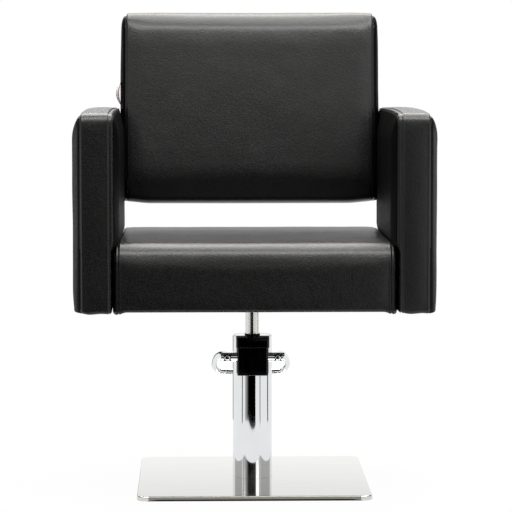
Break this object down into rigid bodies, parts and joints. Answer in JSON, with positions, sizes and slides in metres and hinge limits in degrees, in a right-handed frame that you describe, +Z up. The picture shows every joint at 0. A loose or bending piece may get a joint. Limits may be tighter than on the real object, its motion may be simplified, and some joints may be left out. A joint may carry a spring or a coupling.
{
  "type": "hydraulic styling chair",
  "caption": "Square-built salon styling chair: padded seat, slab arms and backrest on a foot-pumped column that lifts and turns, over a flat square steel base.",
  "frame": {"origin": "on the floor, on the axis of the column", "axes": "+Z up along the column, -Y the way the sitter faces, +X to the right as seen from the front"},
  "size_m": [0.666, 0.5775, 0.9098],
  "materials": {
    "leatherette": "fine grain, satin",
    "chrome": "bright plated",
    "stainless": "polished sheet",
    "bright_steel": "machined",
    "cast_alloy": "as cast",
    "bronze": "machined",
    "black_paint": "powder coat",
    "black_plastic": "satin",
    "mat_rubber": "matt",
    "seal_rubber": "smooth",
    "plywood": "raw",
    "dust_cloth": "non-woven",
    "ribbon": "woven"
  },
  "bodies": {
    "base": {"floor_mat": "mat_rubber", "base_plate": "black_paint", "base_cover": "stainless", "column_tube": "chrome", "column_foot": "bright_steel", "foot_bolts": "bright_steel", "oil_cylinder": "bright_steel", "pump_head": "cast_alloy", "guide_bush": "bronze", "rod_seal": "seal_rubber", "rod_wiper": "seal_rubber", "head_cap": "black_plastic", "head_lid": "chrome", "front_cover": "black_plastic", "plunger_springs": "bright_steel"},
    "pedal": {"pedal_shaft": "chrome", "pedal_fingers": "bright_steel", "finger_pins": "bright_steel", "pedal_bar": "chrome", "pedal_bolts": "chrome"},
    "plungers": {"pump_plungers": "bright_steel"},
    "piston": {"piston": "bright_steel", "piston_seal": "seal_rubber", "thrust_washer": "bronze"},
    "chair": {"piston_rod": "chrome", "rod_clip": "bright_steel", "seat_bracket": "black_paint", "cross_rails": "black_paint", "bracket_bolts": "bright_steel", "arm_bolts": "bright_steel", "seat_board": "plywood", "seat_cushion": "leatherette", "dust_cloths": "dust_cloth", "arm_core_left": "plywood", "arm_core_right": "plywood", "arm_pad_left": "leatherette", "arm_pad_right": "leatherette", "back_core": "plywood", "back_cushion": "leatherette", "back_panel": "leatherette", "back_studs": "bright_steel", "side_loop": "ribbon"}
  },
  "joints": [
    {"name": "lift", "type": "slide", "parent": "base", "child": "piston", "axis": [0, 0, 1], "range_m": [0, 0.12]},
    {"name": "swivel", "type": "hinge", "parent": "piston", "child": "chair", "pos_m": [0, 0, 0.3], "axis": [0, 0, 1], "continuous": true},
    {"name": "pedal_press", "type": "hinge", "parent": "base", "child": "pedal", "pos_m": [0, -0.0275, 0.2455], "axis": [-1, 0, 0], "range_deg": [0, 18], "stiffness_Nm_per_rad": 8, "springref_deg": -14.32},
    {"name": "plunger_push", "type": "slide", "parent": "base", "child": "plungers", "axis": [0, 0, -1], "range_m": [0, 0.009], "deforming": ["plunger_springs"]}
  ],
  "couplings": [
    {"joint": "plunger_push", "follows": "pedal_press", "m_per_rad": 0.0275}
  ]
}
